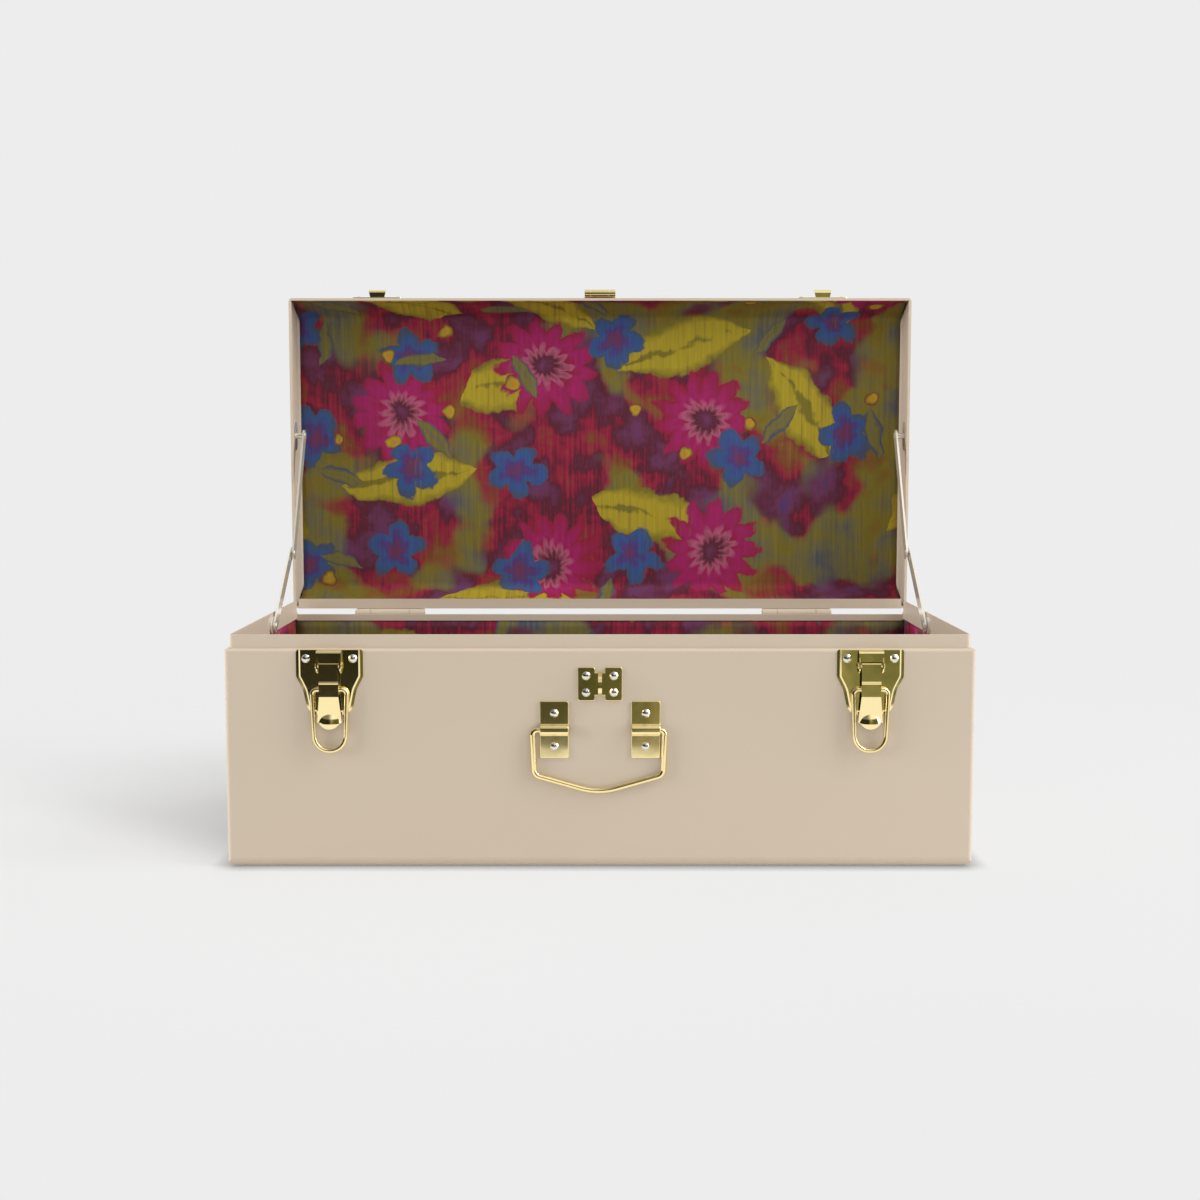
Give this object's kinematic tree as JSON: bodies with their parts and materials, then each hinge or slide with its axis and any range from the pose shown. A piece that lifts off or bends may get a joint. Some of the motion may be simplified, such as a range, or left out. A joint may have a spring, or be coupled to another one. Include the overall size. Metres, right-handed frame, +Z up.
{
  "type": "storage trunk",
  "caption": "Painted sheet-steel storage trunk with a hinged lid on folding stays, draw latches, a hasp and staple, a bail handle and a printed lining.",
  "frame": {"origin": "centre of the underside of the base", "axes": "+X to the right of the trunk as seen from the front, -Y out of the front, +Z up"},
  "size_m": [0.508, 0.3117, 0.4139],
  "materials": {
    "body_paint": "satin",
    "brass_plate": "polished",
    "rivet_steel": "polished",
    "stay_steel": "satin",
    "printed_lining": "matte"
  },
  "bodies": {
    "base": {"base_shell": "body_paint", "lip_band": "body_paint", "base_floor_liner": "printed_lining", "base_front_liner": "printed_lining", "base_back_liner": "printed_lining", "base_left_liner": "printed_lining", "base_right_liner": "printed_lining", "hinge_base_rivets": "rivet_steel", "latch_rivets": "rivet_steel", "handle_rivets": "rivet_steel", "staple": "brass_plate", "staple_rivets": "rivet_steel", "left_hinge_base_leaf": "body_paint", "left_hinge_pin": "body_paint", "left_latch_plate": "brass_plate", "left_latch_pin": "brass_plate", "left_handle_bracket": "brass_plate", "left_stay_base_plate": "stay_steel", "left_stay_base_rivet": "stay_steel", "right_hinge_base_leaf": "body_paint", "right_hinge_pin": "body_paint", "right_latch_plate": "brass_plate", "right_latch_pin": "brass_plate", "right_handle_bracket": "brass_plate", "right_stay_base_plate": "stay_steel", "right_stay_base_rivet": "stay_steel"},
    "lid": {"lid_shell": "body_paint", "lid_liner": "printed_lining", "hinge_lid_rivets": "rivet_steel", "keeper_rivets": "rivet_steel", "hasp_leaf": "brass_plate", "hasp_pin": "brass_plate", "hasp_rivets": "rivet_steel", "left_hinge_lid_leaf": "body_paint", "left_keeper": "brass_plate", "left_stay_lid_bracket": "stay_steel", "left_stay_lid_rivet": "stay_steel", "right_hinge_lid_leaf": "body_paint", "right_keeper": "brass_plate", "right_stay_lid_bracket": "stay_steel", "right_stay_lid_rivet": "stay_steel"},
    "left_lever": {"left_latch_lever": "brass_plate"},
    "left_loop": {"left_latch_loop": "brass_plate"},
    "left_lower_arm": {"left_stay_lower_arm": "stay_steel"},
    "left_upper_arm": {"left_stay_upper_arm": "stay_steel", "left_stay_elbow_rivet": "stay_steel"},
    "right_lever": {"right_latch_lever": "brass_plate"},
    "right_loop": {"right_latch_loop": "brass_plate"},
    "right_lower_arm": {"right_stay_lower_arm": "stay_steel"},
    "right_upper_arm": {"right_stay_upper_arm": "stay_steel", "right_stay_elbow_rivet": "stay_steel"},
    "bail": {"handle_bail": "brass_plate"},
    "strap": {"hasp_strap": "brass_plate"}
  },
  "joints": [
    {"name": "lid_hinge", "type": "hinge", "parent": "base", "child": "lid", "pos_m": [0, 0.1305, 0.1488], "axis": [1, 0, 0], "range_deg": [0, 90]},
    {"name": "left_lever_pivot", "type": "hinge", "parent": "base", "child": "left_lever", "pos_m": [-0.1825, -0.131, 0.139], "axis": [1, 0, 0], "range_deg": [-105, 0]},
    {"name": "left_loop_pivot", "type": "hinge", "parent": "left_lever", "child": "left_loop", "pos_m": [-0.1825, -0.1307, 0.123], "axis": [-1, 0, 0], "range_deg": [0, 180]},
    {"name": "left_lower_arm_pivot", "type": "hinge", "parent": "base", "child": "left_lower_arm", "pos_m": [-0.24765, 0.021, 0.1496], "axis": [1, 0, 0], "range_deg": [0, 241.9]},
    {"name": "left_upper_arm_pivot", "type": "hinge", "parent": "lid", "child": "left_upper_arm", "pos_m": [-0.24515, 0.145, 0.2946], "axis": [1, 0, 0], "range_deg": [-32.5, 0]},
    {"name": "right_lever_pivot", "type": "hinge", "parent": "base", "child": "right_lever", "pos_m": [0.1825, -0.131, 0.139], "axis": [1, 0, 0], "range_deg": [-105, 0]},
    {"name": "right_loop_pivot", "type": "hinge", "parent": "right_lever", "child": "right_loop", "pos_m": [0.1825, -0.1307, 0.123], "axis": [-1, 0, 0], "range_deg": [0, 180]},
    {"name": "right_lower_arm_pivot", "type": "hinge", "parent": "base", "child": "right_lower_arm", "pos_m": [0.24765, 0.021, 0.1496], "axis": [1, 0, 0], "range_deg": [0, 241.9]},
    {"name": "right_upper_arm_pivot", "type": "hinge", "parent": "lid", "child": "right_upper_arm", "pos_m": [0.24515, 0.145, 0.2946], "axis": [1, 0, 0], "range_deg": [-32.5, 0]},
    {"name": "handle_pivot", "type": "hinge", "parent": "base", "child": "bail", "pos_m": [0, -0.12915, 0.0951], "axis": [1, 0, 0], "range_deg": [-150, 0]},
    {"name": "hasp_pivot", "type": "hinge", "parent": "lid", "child": "strap", "pos_m": [0, 0.1345, 0.4102], "axis": [1, 0, 0], "range_deg": [0, 180]}
  ],
  "couplings": [
    {"joint": "left_lower_arm_pivot", "follows": "lid_hinge", "ratio": 2.6877},
    {"joint": "left_upper_arm_pivot", "follows": "lid_hinge", "ratio": -0.36075},
    {"joint": "right_lower_arm_pivot", "follows": "lid_hinge", "ratio": 2.6877},
    {"joint": "right_upper_arm_pivot", "follows": "lid_hinge", "ratio": -0.36075}
  ]
}
